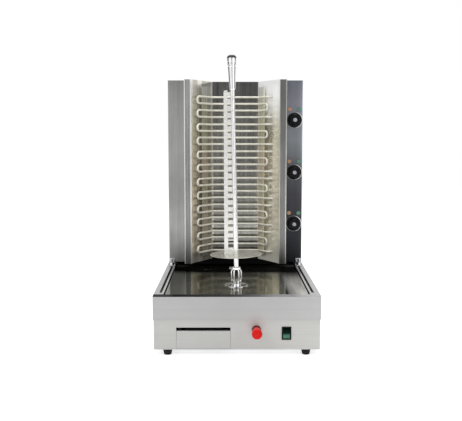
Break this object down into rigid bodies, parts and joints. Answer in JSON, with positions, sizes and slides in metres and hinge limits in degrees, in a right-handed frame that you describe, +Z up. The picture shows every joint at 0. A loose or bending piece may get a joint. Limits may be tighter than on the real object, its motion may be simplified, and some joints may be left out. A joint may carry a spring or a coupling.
{
  "type": "electric skewer grill",
  "caption": "Upright electric skewer grill with a sliding heater head, a motor-driven spit, a mirror tray and a grease drawer.",
  "frame": {"origin": "centre of the bounding box at floor level", "axes": "+Z up, +X to the right seen from the front, +Y from the front to the back"},
  "size_m": [0.45, 0.634, 0.8114],
  "materials": {
    "painted_steel_light": "fine satin stainless look, light grey",
    "stainless_brushed": "vertical brushed grain",
    "stainless_bright": "bright sheet with folded edges",
    "mirror_tray": "polished tray, dark reflections",
    "panel_graphite": "dark satin",
    "black_sheet": "matt black",
    "reflector_sheet": "heat stained",
    "element_ivory": "ivory oxide on steel tube",
    "chrome": "polished",
    "spit_steel": "polished stainless",
    "rubber_black": "matt",
    "plastic_black": "satin black",
    "plastic_red": "gloss red",
    "plastic_green": "clear green",
    "lamp_amber": "clear amber",
    "motor_cast": "cast housing",
    "zinc_steel": "zinc plated",
    "bronze": "sintered",
    "mineral_board": "fibre board"
  },
  "bodies": {
    "base": {"base_housing": "painted_steel_light", "floor_plate": "zinc_steel", "rubber_feet": "rubber_black", "foot_screws": "zinc_steel", "apron": "painted_steel_light", "groove_rail_left": "stainless_bright", "groove_rail_right": "stainless_bright", "drip_tray": "mirror_tray", "cross_members": "zinc_steel", "drawer_runners": "zinc_steel", "motor_bracket": "zinc_steel", "gear_motor": "motor_cast", "shaft_bearing": "bronze", "shaft_seal": "chrome", "stop_collar": "plastic_black", "rocker_frame": "plastic_black", "cable_gland": "plastic_black"},
    "spindle": {"drive_shaft": "spit_steel", "drive_coupling": "chrome", "thumb_screw": "chrome"},
    "spit": {"spit_rod": "spit_steel", "spit_blade": "spit_steel", "meat_disc": "chrome", "disc_hub": "spit_steel", "spit_handle": "plastic_black", "handle_cap": "plastic_black"},
    "drawer": {"grease_drawer": "stainless_bright"},
    "head": {"head_floor": "black_sheet", "head_top": "stainless_brushed", "head_wrapper": "stainless_brushed", "rear_cover": "stainless_brushed", "left_front_panel": "stainless_brushed", "control_panel": "panel_graphite", "left_post": "stainless_bright", "right_post": "stainless_bright", "reflector_back": "reflector_sheet", "reflector_wing_left": "reflector_sheet", "reflector_wing_right": "reflector_sheet", "insulation_board": "mineral_board", "heating_element_1": "element_ivory", "heating_element_2": "element_ivory", "heating_element_3": "element_ivory", "heating_element_4": "element_ivory", "heating_element_5": "element_ivory", "heating_element_6": "element_ivory", "element_supports": "stainless_bright", "slide_shoes": "plastic_black", "clamp_brackets": "chrome", "clamp_screws": "chrome", "dial_rings": "chrome", "energy_regulators": "plastic_black", "amber_lamps": "lamp_amber", "green_lamps": "plastic_green"},
    "knob_high": {"knob_1": "plastic_black"},
    "knob_middle": {"knob_2": "plastic_black"},
    "knob_low": {"knob_3": "plastic_black"},
    "stop_push": {"stop_button": "plastic_red"},
    "rocker_part": {"rocker": "plastic_green"}
  },
  "joints": [
    {"name": "spindle_turn", "type": "hinge", "parent": "base", "child": "spindle", "pos_m": [0, -0.126, 0.2], "axis": [0, 0, 1], "continuous": true},
    {"name": "spit_lift", "type": "slide", "parent": "spindle", "child": "spit", "axis": [-0.0227, 0, 0.9997], "range_m": [0, 0.08]},
    {"name": "drawer_slide", "type": "slide", "parent": "base", "child": "drawer", "axis": [0, -1, 0], "range_m": [0, 0.3]},
    {"name": "head_slide", "type": "slide", "parent": "base", "child": "head", "axis": [0, -1, 0], "range_m": [0, 0.14]},
    {"name": "knob_high_turn", "type": "hinge", "parent": "head", "child": "knob_high", "pos_m": [0.1915, 0.188, 0.6402], "axis": [0, 1, 0], "range_deg": [0, 270]},
    {"name": "knob_middle_turn", "type": "hinge", "parent": "head", "child": "knob_middle", "pos_m": [0.1915, 0.188, 0.4715], "axis": [0, 1, 0], "range_deg": [0, 270]},
    {"name": "knob_low_turn", "type": "hinge", "parent": "head", "child": "knob_low", "pos_m": [0.1915, 0.188, 0.3028], "axis": [0, 1, 0], "range_deg": [0, 270]},
    {"name": "stop_button_press", "type": "slide", "parent": "base", "child": "stop_push", "axis": [0, 1, 0], "range_m": [0, 0.005], "stiffness_N_per_m": 600},
    {"name": "rocker_tilt", "type": "hinge", "parent": "base", "child": "rocker_part", "pos_m": [0.1329, -0.268, 0.0617], "axis": [1, 0, 0], "range_deg": [0, 14]}
  ]
}
